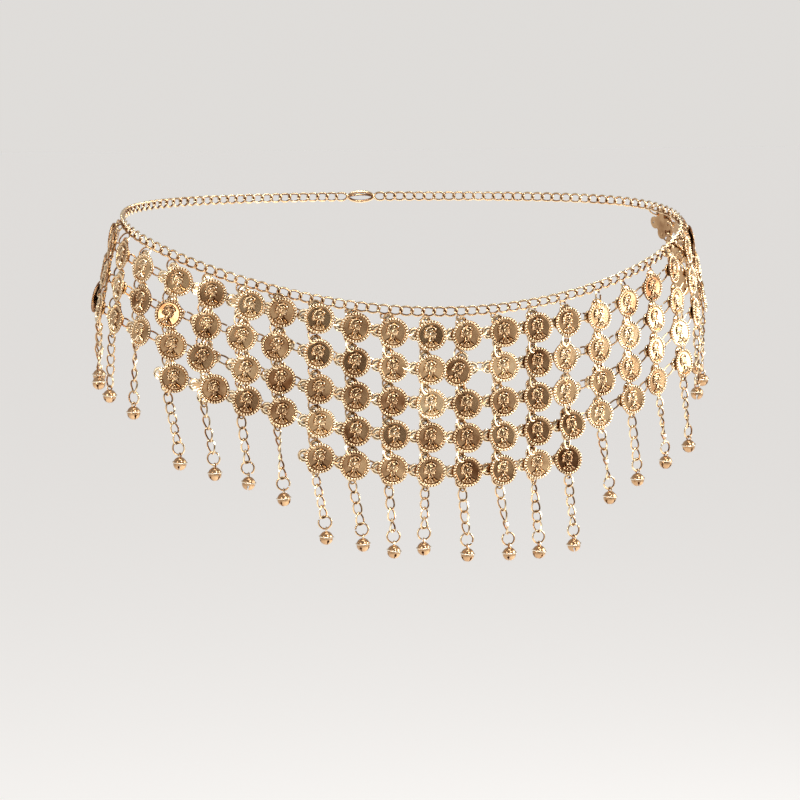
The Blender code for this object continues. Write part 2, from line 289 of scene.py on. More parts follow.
# Jump rings
RING_WIRE = 0.5
RING_HALF_LENGTH = 2.8
RING_HALF_WIDTH = 2.6
LEVEL_RING_HALF_WIDTH = 2.1
RING_SLACK = 0.2
RING_YAW = math.radians(66)
RING_STEPS = 20
RING_SIDES = 6
RING_GAP = math.radians(8)
RING_TWIST = 0.25
RING_YAW_SPREAD = 0.25
HANGING_RING_GAP = (3.4, 6.0)  # between which angles round a ring its split may be
LEVEL_RING_GAP = (0.2, 2.9)
DROP_RING_GAP = (0, 6.2)

# Drop chains and bells
DROP_LENGTH = 36.0
DROP_LINK_PITCH = 6.1
DROP_RING = 3.8
DROP_RING_HALF_WIDTH = 1.75
DROP_LINK_HALF_WIDTH = 2.35
DROP_LINK_TWIST = 0.66
DROP_LINK_SIDES = 6
DROP_YAW = 0.5  # how far the top ring may be turned, then the first link, then each next one
DROP_TURN = 0.9
DROP_TURN_STEP = 0.5
DROP_WIRE = 0.52
END_RING_RADIUS = 3.6
END_RING_STEPS = 30
END_RING_SIDES = 8
END_RING_TIPS = 0.15
BELL_DROP = 5.1
BELL_PROFILE = (
    # radius, height above the bell's middle
    (0.9, 3.72),
    (1.9, 3.3),
    (2.8, 2.55),
    (3.4, 1.7),
    (3.65, 1.05),
    (4.2, 0.95),
    (4.35, 0.7),
    (4.2, 0.45),
    (3.7, 0.35),
    (3.75, -0.3),
    (3.6, -1.3),
    (3.1, -2.3),
    (2.3, -3.15),
    (1.2, -3.75),
)
FLANGE_RADIUS = 4.0
BELL_TONE = 0.4
BELL_TOP = 3.9
BELL_LOW = -3.95
BELL_INSIDE = 3.1
BELL_INSIDE_BANDS = 10
BELL_INSIDE_STEPS = 24
BELL_STEPS = 32
SLIT = (6.4, 0.7, 6.0)
SLIT_DROP = -4.6
SLIT_END_RADIUS = 0.75
SLIT_END_LENGTH = 3.0
SLIT_END = (3.3, -1.5)
SLIT_END_LEAN = math.radians(68)
BELL_TURNS = ((20, 4), (65, -6), (100, 8), (150, -3))  # degrees about its axis, degrees of tilt
LOOP_RADIUS = 1.45
LOOP_WIRE = 0.45
LOOP_LOWER = 0.55
LOOP_STEPS = 18
LOOP_SIDES = 6
BELL_MIX = 7  # the step with which the bells' meshes are dealt out

# Round tools that bore holes
DRILL_SIDES = 12
DRILL_LENGTH = 4.0

# Plating, whose ramp holds painted shade and painted highlight
GOLD_AND_PAINTED_LIGHT = (
    # tone, from a near-black painted shade at 0 to a cream painted highlight at 1, partly wear between;
    # colour
    (0.0, (0.05, 0.016, 0.006)),
    (0.25, (0.24, 0.105, 0.042)),
    (0.5, (0.72, 0.47, 0.25)),
    (0.75, (0.95, 0.74, 0.46)),
    (1.0, (1.0, 0.9, 0.7)),
)
CLOUD_SCALE = 90
GRAIN_SCALE = 2500
UNEVEN = 0.12
CLOUD_DETAIL = 4
CLOUD_RANGE = (0.3, 0.7)
GRAIN_DETAIL = 3
GRAIN_STRENGTH = 0.3
GRAIN_DEPTH = 0.05
POLISH = 0.18
HOLLOW_ROUGHER = 0.12
COIN_TINT = (1, 1, 1)
CHAIN_TINT = (0.98, 1, 1.05)
BELL_TINT = (0.98, 0.97, 1)
WIRE_WEAR = 0.5
WIRE_PAINTED_LIGHT = 0.35  # a ring is paler round its outer side, a painted highlight, and darker round its inner side, a painted shade

# Studio, in metres and watts
FLOOR_HEIGHT = -0.95
FLOOR_SIZE = 30
FLOOR_COLOUR = (0.9, 0.9, 0.9, 1)
FLOOR_GLOW = 0.36
BACKDROP = (0.739, 0.72, 0.698, 1)
DARK_AZIMUTH = math.radians(10)
STUDIO = (
    # cosine of the angle from the dark side's middle, colour
    (0.0, (0.5, 0.48, 0.46)),
    (0.45, (0.36, 0.33, 0.3)),
    (0.75, (0.15, 0.125, 0.1)),
    (0.92, (0.06, 0.045, 0.035)),
)
LIGHT_TARGET = (0, 0, -0.08)
LIGHTS = (
    # name, place, width and height, power, colour
    ("key", (1.8, -0.3, 0.35), (1.2, 1.0), 38, (1, 1, 0.98)),
    ("fill", (-1.4, -0.9, 0.4), (0.35, 0.8), 10, (1, 0.98, 0.95)),
    ("front", (0.5, -1.4, 1.3), (0.3, 0.3), 12, (1, 0.97, 0.93)),
    ("top", (0, -0.2, 1.6), (0.8, 0.4), 8, (1, 1, 1)),
)

# Camera, in metres, with its lens and sensor in millimetres
CAMERA_AZIMUTH = math.radians(-14.3)
CAMERA_ELEVATION = math.radians(3)
CAMERA_DISTANCE = 1.6
CAMERA_LENS = 122.4
CAMERA_SENSOR = 36
AIM_RIGHT = -0.0041
AIM_UP = -0.1141


# The part's own frame


def hip_section(turn, below):
    """The half width of the hips' oval, and its depth on the side that the turn is on."""
    depth = HIP_FRONT if math.cos(turn) > 0 else HIP_BACK
    return HIP_HALF_WIDTH + SIDE_FLARE * below, depth


def hip_point(turn, below):
    half_width, depth = hip_section(turn, below)
    dip = DROOP * ((1 + math.cos(turn)) / 2) ** DROOP_POWER
    return Vector((half_width * math.sin(turn), -depth * math.cos(turn), -dip - below))


def outward(turn, below):
    half_width, depth = hip_section(turn, below)
    return Vector((math.sin(turn) / half_width, -math.cos(turn) / depth, 0)).normalized()


def walk_round(below):
    """Turns from the back past the front to the back again, and the length walked from the front at each."""
    turns = [math.pi * (2 * i / WALK_STEPS - 1) for i in range(WALK_STEPS + 1)]
    points = [hip_point(turn, below) for turn in turns]
    lengths = [0.0]
    for before, after in zip(points, points[1:]):
        lengths.append(lengths[-1] + (after - before).length)
    front = lengths[WALK_STEPS // 2]
    return turns, [length - front for length in lengths]


WALKS = {}  # those already worked out, by how far below the chain they are


def turn_at(length, below):
    if below not in WALKS:
        WALKS[below] = walk_round(below)
    turns, lengths = WALKS[below]
    return float(np.interp(length, lengths, turns))


def frame_at(origin, across, up):
    """A matrix from local millimetres to the world: x across, y up and z out of the surface."""
    out = across.cross(up).normalized()
    up = out.cross(across)
    turned = Matrix((across, up, out)).transposed().to_4x4()
    return Matrix.Translation(origin) @ turned


def row_tangent(turn, below):
    return (hip_point(turn + TANGENT_STEP, below) - hip_point(turn - TANGENT_STEP, below)).normalized()


def chain_frame(length):
    turn = turn_at(length, 0)
    across = row_tangent(turn, 0)
    return frame_at(hip_point(turn, 0), across, outward(turn, 0).cross(across))


def column_length(column):
    return (column - (len(COLUMNS) - 1) / 2) * COLUMN_PITCH + COLUMNS[column][ALONG]


def place_in_net(column, row):
    """How far round the hips a plate is, and how far below the chain."""
    row_pitch = ROW_PITCH - COLUMNS[column][GATHER]
    row_below = FIRST_ROW + row * row_pitch
    return turn_at(column_length(column), row_below), row_below + COLUMNS[column][HANG]


def unit_frame(column, row):
    """Where the middle of a plate is, turned part of the way with its row's slope."""
    turn, below = place_in_net(column, row)
    tangent = row_tangent(turn, below)
    level = Vector((tangent.x, tangent.y, 0)).normalized()
    up = (hip_point(turn, below - 1) - hip_point(turn, below)).normalized()
    slope = UNIT_TURN * math.atan2(tangent.z, Vector((tangent.x, tangent.y)).length)
    across = level * math.cos(slope) + up * math.sin(slope)
    up = up * math.cos(slope) - level * math.sin(slope)
    return frame_at(hip_point(turn, below) + outward(turn, below) * UNIT_OUT, across, up)


def drop_length(column):
    return DROP_LENGTH + COLUMNS[column][DROP_LONGER]


def level_along(column):
    """The level direction along the lowest row at a column."""
    tangent = row_tangent(*place_in_net(column, COLUMNS[column][COINS] - 1))
    return Vector((tangent.x, tangent.y, 0)).normalized()


def drop_frame(column):
    """At the lowest ear's hole, with y up the drop chain."""
    level = level_along(column)
    plumb = Vector((0, 0, 1))
    swing = math.asin(COLUMNS[column][DROP_ASIDE] / drop_length(column))
    across = level * math.cos(swing) + plumb * math.sin(swing)
    up = plumb * math.cos(swing) - level * math.sin(swing)
    hole = unit_frame(column, COLUMNS[column][COINS] - 1) @ Vector((0, -EAR_HOLE, 0))
    return frame_at(hole, across, up)


def bell_frame(column):
    """On the ring's bottom wire, hanging plumb, with x along the wire."""
    wire = drop_frame(column) @ Vector((0, -drop_length(column), 0))
    return frame_at(wire, level_along(column), Vector((0, 0, 1)))


# Shapes: points in millimetres, faces, and a tone for each point, from 0 in a hollow to 1 on a high spot:
# partly wear, and partly painted shade in the hollows and painted highlight on the high spots


def shape_of(points, faces, worn=None):
    points = np.asarray(points, float).reshape(-1, 3)
    if worn is None:
        worn = np.full(len(points), WIRE_WEAR)
    return {"points": points, "faces": faces, "worn": np.asarray(worn, float)}


def joined(shapes):
    points, faces, worn, start = [], [], [], 0
    for shape in shapes:
        points.append(shape["points"])
        worn.append(shape["worn"])
        faces.extend([tuple(corner + start for corner in face) for face in shape["faces"]])
        start += len(shape["points"])
    return {"points": np.concatenate(points), "faces": faces, "worn": np.concatenate(worn)}


def placed(shape, frame):
    matrix = np.array(frame)
    points = shape["points"] @ matrix[:3, :3].T + matrix[:3, 3]
    return {"points": points, "faces": shape["faces"], "worn": shape["worn"]}


def unit(vectors):
    return vectors / np.linalg.norm(vectors, axis=-1, keepdims=True)


def wire(path, radius, sides, closed=True):
    """A round wire along the points of a path that lies nearly in one plane."""
    path = np.asarray(path, float)
    count = len(path)
    middle = path.mean(axis=0)
    normal = unit(np.cross(path - middle, np.roll(path, -1, axis=0) - middle).sum(axis=0))
    if closed:
        along = unit(np.roll(path, -1, axis=0) - np.roll(path, 1, axis=0))
    else:
        along = unit(np.gradient(path, axis=0))
    side = unit(np.cross(along, normal))
    up = np.cross(side, along)
    angles = 2 * math.pi * np.arange(sides) / sides
    ring = side[:, None] * np.cos(angles)[None, :, None] + up[:, None] * np.sin(angles)[None, :, None]
    points = (path[:, None] + radius * ring).reshape(-1, 3)
    faces = []
    for i in range(count if closed else count - 1):
        for j in range(sides):
            here, there = i * sides, (i + 1) % count * sides
            after = (j + 1) % sides
            faces.append((here + j, here + after, there + after, there + j))
    if not closed:
        tips = [path[0] - along[0] * radius / 2, path[-1] + along[-1] * radius / 2]
        last = (count - 1) * sides
        for j in range(sides):
            after = (j + 1) % sides
            faces.append((j, count * sides, after))
            faces.append((last + j, last + after, count * sides + 1))
        points = np.concatenate([points, tips])
    worn = np.full(len(points), WIRE_WEAR)
    # Painted highlight round the wire's outer side and painted shade round its inner side
    worn[:count * sides] += WIRE_PAINTED_LIGHT * np.tile(np.cos(angles), count)
    return shape_of(points, faces, worn)


def link_path(half_length, half_height, twist, steps=LINK_STEPS):
    """An oval whose long sides lean over, so that a curb link lies flat through its neighbours."""
    turn = 2 * math.pi * np.arange(steps) / steps
    lean = twist * np.sin(2 * turn)
    return np.stack([half_length * np.cos(turn), half_height * np.sin(turn), lean], axis=1)


def jump_ring(top, bottom, side, gap, half_width=RING_HALF_WIDTH):
    """A split ring through two holes that bulges toward side."""
    chord = top - bottom
    half_length = max(RING_HALF_LENGTH, chord.length / 2 + RING_SLACK)
    along = chord.normalized()
    side = (side - along * side.dot(along)).normalized()
    across = along.cross(side)
    bulge = half_width * math.sqrt(max(0.0, 1 - (chord.length / 2 / half_length) ** 2))
    middle = (top + bottom) / 2 + side * bulge
    path = []
    for step in range(RING_STEPS):
        share = step / (RING_STEPS - 1)
        turn = gap + RING_GAP + share * 2 * (math.pi - RING_GAP)
        offset = across * RING_TWIST * (2 * share - 1)
        point = middle + along * half_length * math.cos(turn) + side * half_width * math.sin(turn)
        path.append(point + offset)
    return wire(path, RING_WIRE, RING_SIDES, closed=False)


# Coin and plate


def zip_rings(inner, inner_count, outer, outer_count):
    """Faces between two rings of points that start at the same angle."""
    if inner_count == outer_count:
        return [
            (inner + i, outer + i, outer + (i + 1) % outer_count, inner + (i + 1) % inner_count)
            for i in range(inner_count)
        ]
    faces, i, j = [], 0, 0
    while i < inner_count or j < outer_count:
        here, there = inner + i % inner_count, outer + j % outer_count
        if i >= inner_count or (j < outer_count and j * inner_count <= i * outer_count):
            faces.append((here, there, outer + (j + 1) % outer_count))
            j += 1
        else:
            faces.append((here, there, inner + (i + 1) % inner_count))
            i += 1
    return faces


def ringed(rings, front, back):
    """A closed body from rings of points, each an N by 3 array, from the front's middle to the back's."""
    points = [np.array([[0, 0, front]])]
    faces = [(0, 1 + i, 1 + (i + 1) % len(rings[0])) for i in range(len(rings[0]))]
    start = 1
    for ring, following in zip(rings, rings[1:]):
        points.append(ring)
        faces += zip_rings(start, len(ring), start + len(ring), len(following))
        start += len(ring)
    points.append(rings[-1])
    count = len(rings[-1])
    points.append(np.array([[0, 0, back]]))
    faces += [(start + i, start + count, start + (i + 1) % count) for i in range(count)]
    return np.concatenate(points), faces


def dome(inside):
    return np.sqrt(np.clip(inside, 0, None))


def bust_relief(x, y):
    """The height of a plain bust in profile."""
    height = np.zeros_like(x)
    strands = 1 - STRAND_DEPTH * (0.5 - 0.5 * np.cos(
        2 * math.pi * np.hypot(x - STRAND_MIDDLE[0], y - STRAND_MIDDLE[1]) / STRAND_PITCH
    ))
    for kind, middle_x, middle_y, half_width, half_height, lean, rise in BUST:
        turn = math.radians(lean)
        across = (x - middle_x) * math.cos(turn) + (y - middle_y) * math.sin(turn)
        along = (y - middle_y) * math.cos(turn) - (x - middle_x) * math.sin(turn)
        reach = np.hypot(across / half_width, along / half_height)
        part = rise * dome(1 - reach**2)
        height = np.maximum(height, part * strands if kind == "hair" else part)
    for from_x, from_y, to_x, to_y, half_width, rise in BUST_LINES:
        length = math.hypot(to_x - from_x, to_y - from_y)
        share = ((x - from_x) * (to_x - from_x) + (y - from_y) * (to_y - from_y)) / length**2
        share = np.clip(share, 0, 1)
        gap = np.hypot(x - from_x - share * (to_x - from_x), y - from_y - share * (to_y - from_y))
        height = np.maximum(height, rise * dome(1 - (gap / half_width) ** 2))
    angle = np.arctan2((y - WREATH_MIDDLE[1]) / WREATH_RADII[1], (x - WREATH_MIDDLE[0]) / WREATH_RADII[0])
    angle = np.mod(angle, 2 * math.pi)
    gap = np.hypot(
        x - WREATH_MIDDLE[0] - WREATH_RADII[0] * np.cos(angle),
        y - WREATH_MIDDLE[1] - WREATH_RADII[1] * np.sin(angle),
    )
    gap = np.where((angle < WREATH_FROM) | (angle > WREATH_TO), OFF_WREATH, gap)
    leaves = 1 - LEAF_DEPTH + LEAF_DEPTH * np.cos(WREATH_LEAVES * angle)
    height = np.maximum(height, WREATH_HEIGHT * leaves * dome(1 - (gap / WREATH_HALF_WIDTH) ** 2))
    return height * BUST_DEEP


def crease(x, y):
    """How far the relief stands above what lies round it, or below it where this is negative."""
    around = 0
    for step in range(CREASE_WAYS):
        turn = 2 * math.pi * step / CREASE_WAYS
        around = around + bust_relief(x + CREASE_REACH * math.cos(turn), y + CREASE_REACH * math.sin(turn))
    return bust_relief(x, y) - around / CREASE_WAYS


def level_ring(radius, count, height):
    angle = 2 * math.pi * np.arange(count) / count
    x, y = radius * np.cos(angle), radius * np.sin(angle)
    return np.stack([x, y, np.full(count, float(height))], axis=1)


def coin_shape(hole):
    """A coin with a beaded edge, a bust on its field and a hole near the top."""
    rings = []
    for number in range(1, FIELD_RINGS + 1):
        count = next(count for last, count in FIELD_COUNTS if number <= last)
        rings.append(level_ring(number * FIELD_STEP, count, FIELD))
    for ring in rings:
        ring[:, 2] += bust_relief(ring[:, 0], ring[:, 1])
    bead_count = BEADS * BEAD_STEPS
    phase = 2 * math.pi * BEADS * np.arange(bead_count) / bead_count
    for radius, share, base in BEAD_PROFILE:
        ring = level_ring(radius, bead_count, base)
        ring[:, 2] += share * BEAD_HEIGHT * ((1 + np.cos(phase)) / 2) ** BEAD_ROUND
        rings.append(ring)
    for radius, height in COIN_EDGE:
        rings.append(level_ring(radius, EDGE_STEPS, height))
    rings.append(level_ring(COIN_RADIUS / 2, COIN_BACK_STEPS, COIN_BACK))
    middle = FIELD + float(bust_relief(np.zeros(1), np.zeros(1))[0])
    points, faces = ringed(rings, middle, COIN_BACK)
    coin = bored(points, faces, [(*hole, COIN_HOLE_RADIUS)])
    x, y, z = coin["points"].T
    radius = np.hypot(x, y)
    on_field = radius < BEAD_PROFILE[0][0]
    # The field's darker tone, with painted shade in the grooves round the relief and painted highlight on its
    # ridges
    field_painted_light = FIELD_SHADED_TONE + CREASE_PAINTED_LIGHT * crease(x, y)
    # Painted shade in the gaps between beads and on the low edge, painted highlight on the beads' tops: the
    # higher a point, the paler
    bead_painted_light = GAP_PAINTED_SHADE + z / BEAD_HEIGHT
    coin["worn"] = np.clip(np.where(on_field, field_painted_light, bead_painted_light), 0, 1)
    # The coin's back a little darker: painted shade
    coin["worn"][z < 0] = BACK_PAINTED_SHADE
    return coin


def exit_radius(angle, centre, radius):
    along = centre[0] * np.cos(angle) + centre[1] * np.sin(angle)
    aside = centre[0] * np.sin(angle) - centre[1] * np.cos(angle)
    return np.where(np.abs(aside) < radius, along + np.sqrt(np.maximum(radius**2 - aside**2, 0)), 0)


def plate_reach(angle):
    reach = np.full_like(angle, PLATE_DISC)
    for quarter in range(4):
        ear = quarter * math.pi / 2
        centre = (EAR_CENTRE * math.cos(ear), EAR_CENTRE * math.sin(ear))
        reach = np.maximum(reach, exit_radius(angle, centre, EAR_RADIUS))
    return reach


def plate_ring(share, count, height, raised):
    angle = 2 * math.pi * np.arange(count) / count
    radius = share * plate_reach(angle)
    x, y = radius * np.cos(angle), radius * np.sin(angle)
    ring = np.stack([x, y, np.full(count, float(height))], axis=1)
    if raised:
        ring[:, 2] += ear_height(x, y)
    return ring


def ear_height(x, y):
    """The stamped relief of the ears: a raised rim and an arc inside it."""
    quarter = np.round(np.arctan2(y, x) / (math.pi / 2)) * (math.pi / 2)
    along = x * np.cos(quarter) + y * np.sin(quarter)
    aside = y * np.cos(quarter) - x * np.sin(quarter)
    from_ear = np.hypot(along - EAR_CENTRE, aside) / EAR_RADIUS
    height = np.zeros_like(x)
    for share, half_width, rise in (EAR_RIM, EAR_ARC):
        height = np.maximum(height, rise * dome(1 - ((from_ear - share) / half_width) ** 2))
    return np.where(along > EAR_CENTRE - EAR_RADIUS, height, 0)


def plate_shape():
    """A stamped plate with four round ears, each with a hole."""
    front, back = PLATE_HALF_THICK, -PLATE_HALF_THICK
    rings = [plate_ring(PLATE_FIRST_SHARE, PLATE_INNER_STEPS, front, False)]
    for share in PLATE_SHARES:
        rings.append(plate_ring(share, PLATE_STEPS, front, share > PLATE_SHARES[0]))
    rings.append(plate_ring(1.0, PLATE_STEPS, back, False))
    rings.append(plate_ring(PLATE_BACK_SHARE, PLATE_INNER_STEPS, back, False))
    points, faces = ringed(rings, front, back)
    holes = [(EAR_HOLE, 0), (0, EAR_HOLE), (-EAR_HOLE, 0), (0, -EAR_HOLE)]
    plate = bored(points, faces, [(x, y, EAR_HOLE_RADIUS) for x, y in holes])
    height = plate["points"][:, 2]
    # Paler the higher the front stands: painted highlight on the raised rim and arc, partly wear
    plate["worn"] = np.clip(PLATE_WEAR + (height - front) / PLATE_WEAR_AND_HIGHLIGHT_RISE, 0, 1)
    # The plate's back a little darker: painted shade
    plate["worn"][height < 0] = BACK_PAINTED_SHADE
    return plate


def object_from(name, points, faces):
    mesh = bpy.data.meshes.new(name)
    mesh.from_pydata(points.tolist(), [], faces)
    mesh.update()
    obj = bpy.data.objects.new(name, mesh)
    bpy.context.scene.collection.objects.link(obj)
    return obj


def tool_object(name, cage):
    mesh = bpy.data.meshes.new(name)
    cage.to_mesh(mesh)
    cage.free()
    obj = bpy.data.objects.new(name, mesh)
    bpy.context.scene.collection.objects.link(obj)
    return obj


def drill(radius, length, matrix):
    """A round tool along the matrix's z."""
    cage = bmesh.new()
    bmesh.ops.create_cone(
        cage, cap_ends=True, segments=DRILL_SIDES, radius1=radius, radius2=radius, depth=length, matrix=matrix
    )
    return tool_object("drill", cage)


def carved(body, tools):
    """The body with the tools cut out of it, as a shape."""
    for tool in tools:
        modifier = body.modifiers.new("Cut", "BOOLEAN")
        modifier.operation = "DIFFERENCE"
        modifier.object = tool
    shape = read_back(body)
    for obj in [body, *tools]:
        bpy.data.objects.remove(obj)
    return shape


def bored(points, faces, holes):
    """The body with round holes bored along z, as a shape."""
    body = object_from("bored_body", points, faces)
    tools = [drill(radius, DRILL_LENGTH, Matrix.Translation((x, y, 0))) for x, y, radius in holes]
    return carved(body, tools)


def read_back(obj):
    """An object's evaluated mesh as a shape, with its faces in three or four corners."""
    graph = bpy.context.evaluated_depsgraph_get()
    mesh = bpy.data.meshes.new_from_object(obj.evaluated_get(graph))
    cage = bmesh.new()
    cage.from_mesh(mesh)
    bpy.data.meshes.remove(mesh)
    large = [face for face in cage.faces if len(face.verts) > 4]
    bmesh.ops.triangulate(cage, faces=large)
    points = np.array([vert.co for vert in cage.verts])
    faces = [tuple(vert.index for vert in face.verts) for face in cage.faces]
    cage.free()
    return shape_of(points, faces)


# Materials


def fill_ramp(ramp, stops):
    """Gives a colour ramp its stops, each a position and a colour."""
    elements = ramp.color_ramp.elements
    elements.remove(elements[1])
    for number, (position, colour) in enumerate(stops):
        stop = elements[0] if number == 0 else elements.new(position)
        stop.position = position
        stop.color = (*colour, 1)


def noise_node(nodes, links, place, scale, detail):
    noise = nodes.new("ShaderNodeTexNoise")
    noise.inputs["Scale"].default_value = scale
    noise.inputs["Detail"].default_value = detail
    links.new(place.outputs["Object"], noise.inputs["Vector"])
    return noise


def gold(name, tint):
    """Gold plating: paler on the high spots, partly wear and partly a painted highlight, and brown in the
    hollows as painted shade, with a fine uneven polish.
    """
    material = bpy.data.materials.new(name)
    material.use_nodes = True
    nodes, links = material.node_tree.nodes, material.node_tree.links
    shader = nodes["Principled BSDF"]
    shader.inputs["Metallic"].default_value = 1.0
    place = nodes.new("ShaderNodeTexCoord")
    cloud = noise_node(nodes, links, place, CLOUD_SCALE, CLOUD_DETAIL)
    fine = noise_node(nodes, links, place, GRAIN_SCALE, GRAIN_DETAIL)

    worn = nodes.new("ShaderNodeAttribute")
    worn.attribute_name = "worn"
    uneven = nodes.new("ShaderNodeMapRange")
    uneven.inputs["From Min"].default_value = CLOUD_RANGE[0]
    uneven.inputs["From Max"].default_value = CLOUD_RANGE[1]
    uneven.inputs["To Min"].default_value = -UNEVEN
    uneven.inputs["To Max"].default_value = UNEVEN
    links.new(cloud.outputs["Fac"], uneven.inputs["Value"])
    level = nodes.new("ShaderNodeMath")
    links.new(worn.outputs["Fac"], level.inputs[0])
    links.new(uneven.outputs["Result"], level.inputs[1])
    # The ramp runs from painted shade in the hollows to a painted highlight on the high spots
    ramp = nodes.new("ShaderNodeValToRGB")
    tinted = [(position, [value * tone for value, tone in zip(colour, tint)]) for position, colour in GOLD_AND_PAINTED_LIGHT]
    fill_ramp(ramp, tinted)
    links.new(level.outputs["Value"], ramp.inputs["Fac"])
    links.new(ramp.outputs["Color"], shader.inputs["Base Color"])

    rough = nodes.new("ShaderNodeMapRange")
    rough.inputs["To Min"].default_value = POLISH + HOLLOW_ROUGHER
    rough.inputs["To Max"].default_value = POLISH
    links.new(level.outputs["Value"], rough.inputs["Value"])
    links.new(rough.outputs["Result"], shader.inputs["Roughness"])

    bump = nodes.new("ShaderNodeBump")
    bump.inputs["Strength"].default_value = GRAIN_STRENGTH
    bump.inputs["Distance"].default_value = GRAIN_DEPTH * MM
    links.new(fine.outputs["Fac"], bump.inputs["Height"])
    links.new(bump.outputs["Normal"], shader.inputs["Normal"])
    return material


# Pieces


def make_piece(name, shape, material, body, nodes, frame=None):
    """A piece of the scene from a shape: its mesh in metres, smooth, on its body."""
    mesh = bpy.data.meshes.new(name)
    mesh.from_pydata((shape["points"] * MM).tolist(), [], shape["faces"])
    attribute = mesh.attributes.new("worn", "FLOAT", "POINT")
    attribute.data.foreach_set("value", shape["worn"].astype(np.float32))
    mesh.shade_smooth()
    mesh.set_sharp_from_angle(angle=SHARP_ANGLE)
    mesh.materials.append(material)
    return add_piece(name, mesh, body, nodes, frame)


def add_piece(name, mesh, body, nodes, frame=None):
    obj = bpy.data.objects.new(name, mesh)
    bpy.context.scene.collection.objects.link(obj)
    if frame is not None:
        moved = frame.copy()
        moved.translation = frame.translation * MM
        obj.matrix_world = moved
    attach(obj, body)
    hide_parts(*nodes)
    return obj


def chain_numbers():
    """How many places for links the whole loop has, how many links fill them, and their pitch."""
    loop_length = 2 * walk_round(0)[1][-1]
    places = round(loop_length / LINK_PITCH)
    links = places - CLASP_LINKS
    links -= 1 - links % 2  # an odd number, so that one link lies at the middle of the front
    return places, links, loop_length / places


def build_chain(material):
    _places, links, pitch = chain_numbers()
    first = -(links // 2)
    link = wire(link_path(LINK_HALF_LENGTH, LINK_HALF_HEIGHT, LINK_TWIST), LINK_WIRE, LINK_SIDES)
    for arc in range(CHAIN_ARCS):
        start = first + round(arc * links / CHAIN_ARCS)
        end = first + round((arc + 1) * links / CHAIN_ARCS)
        shapes = [placed(link, chain_frame(index * pitch)) for index in range(start, end)]
        number = f"{arc + 1:02d}"
        make_piece("links_" + number, joined(shapes), material, "belt", ["chain_" + number])


def build_net(material, random):
    """Each column's plates, coins and jump rings, and its drop chain."""
    pitch = chain_numbers()[2]
    left_coin, top_coin, plate = coin_shape(LEFT_HOLE), coin_shape(TOP_HOLE), plate_shape()
    for column in range(len(COLUMNS)):
        coins, gather, coin_side = (COLUMNS[column][key] for key in (COINS, GATHER, COIN_SIDE))
        shapes = []
        link = round(column_length(column) / pitch)
        above = chain_frame(link * pitch) @ Vector((0, -LINK_HALF_HEIGHT, 0))
        shingle = Matrix.Rotation(SHINGLE if gather > SHINGLE_FROM else 0, 4, "X")
        facing = math.radians(FACING.get(column, 0))
        for row in range(coins):
            frame = unit_frame(column, row) @ shingle
            across, up, out = (frame.col[i].xyz for i in range(3))
            shapes.append(placed(plate, frame))
            shape, hole = (left_coin, LEFT_HOLE) if coin_side > LEFT_HOLE_FROM else (top_coin, TOP_HOLE)
            hung = frame @ coin_frame(coin_side, hole, ASKEW.get((column, row), 0.0), facing, random)
            coin = placed(shape, hung)
            coin["worn"] = np.clip(coin["worn"] + random.normal(0, COIN_UNLIKE), 0, 1)
            shapes.append(coin)
            yaw = RING_YAW + random.uniform(-RING_YAW_SPREAD, RING_YAW_SPREAD)
            side = out * math.cos(yaw) - across * math.sin(yaw)
            gap = random.uniform(*HANGING_RING_GAP)
            shapes.append(jump_ring(above, hung @ Vector((*hole, 0)), side, gap))
            above = frame @ Vector((0, -EAR_HOLE, 0))
            if column + 1 < len(COLUMNS) and row < COLUMNS[column + 1][COINS]:
                right = frame @ Vector((EAR_HOLE, 0, 0))
                left = unit_frame(column + 1, row) @ Vector((-EAR_HOLE, 0, 0))
                side = up * math.sin(RING_YAW) - out * math.cos(RING_YAW)
                gap = random.uniform(*LEVEL_RING_GAP)
                shapes.append(jump_ring(right, left, side, gap, LEVEL_RING_HALF_WIDTH))
        shapes += drop_shapes(column, random)
        number = f"{column + 1:02d}"
        make_piece("net_" + number, joined(shapes), material, "belt", ["coin_column_" + number])


def coin_frame(coin_side, hole, askew, facing, random):
    """A coin before its plate, turned by facing, swung about its hole and a little askew."""
    hole = Vector((*hole, 0))
    swing = askew * (1 - ASKEW_SLIDE) / hole.length + random.normal(0, COIN_SWING)
    tip = random.uniform(*COIN_TIP)
    turn = random.normal(*COIN_TURN)
    out = max(0.0, COIN_RADIUS * math.sin(facing) - FACING_SUNK)
    aside = coin_side + COIN_ASIDE + askew * ASKEW_SLIDE + out * FACING_ASIDE
    middle = Vector((aside, -COIN_LOWER + random.uniform(*COIN_SETTLE), COIN_OUT + out))
    turned = Matrix.Rotation(swing, 4, "Z") @ Matrix.Rotation(tip, 4, "X") @ Matrix.Rotation(turn, 4, "Y")
    swung = Matrix.Translation(hole) @ turned @ Matrix.Translation(-hole)
    return Matrix.Translation(middle) @ Matrix.Rotation(facing, 4, "Y") @ swung


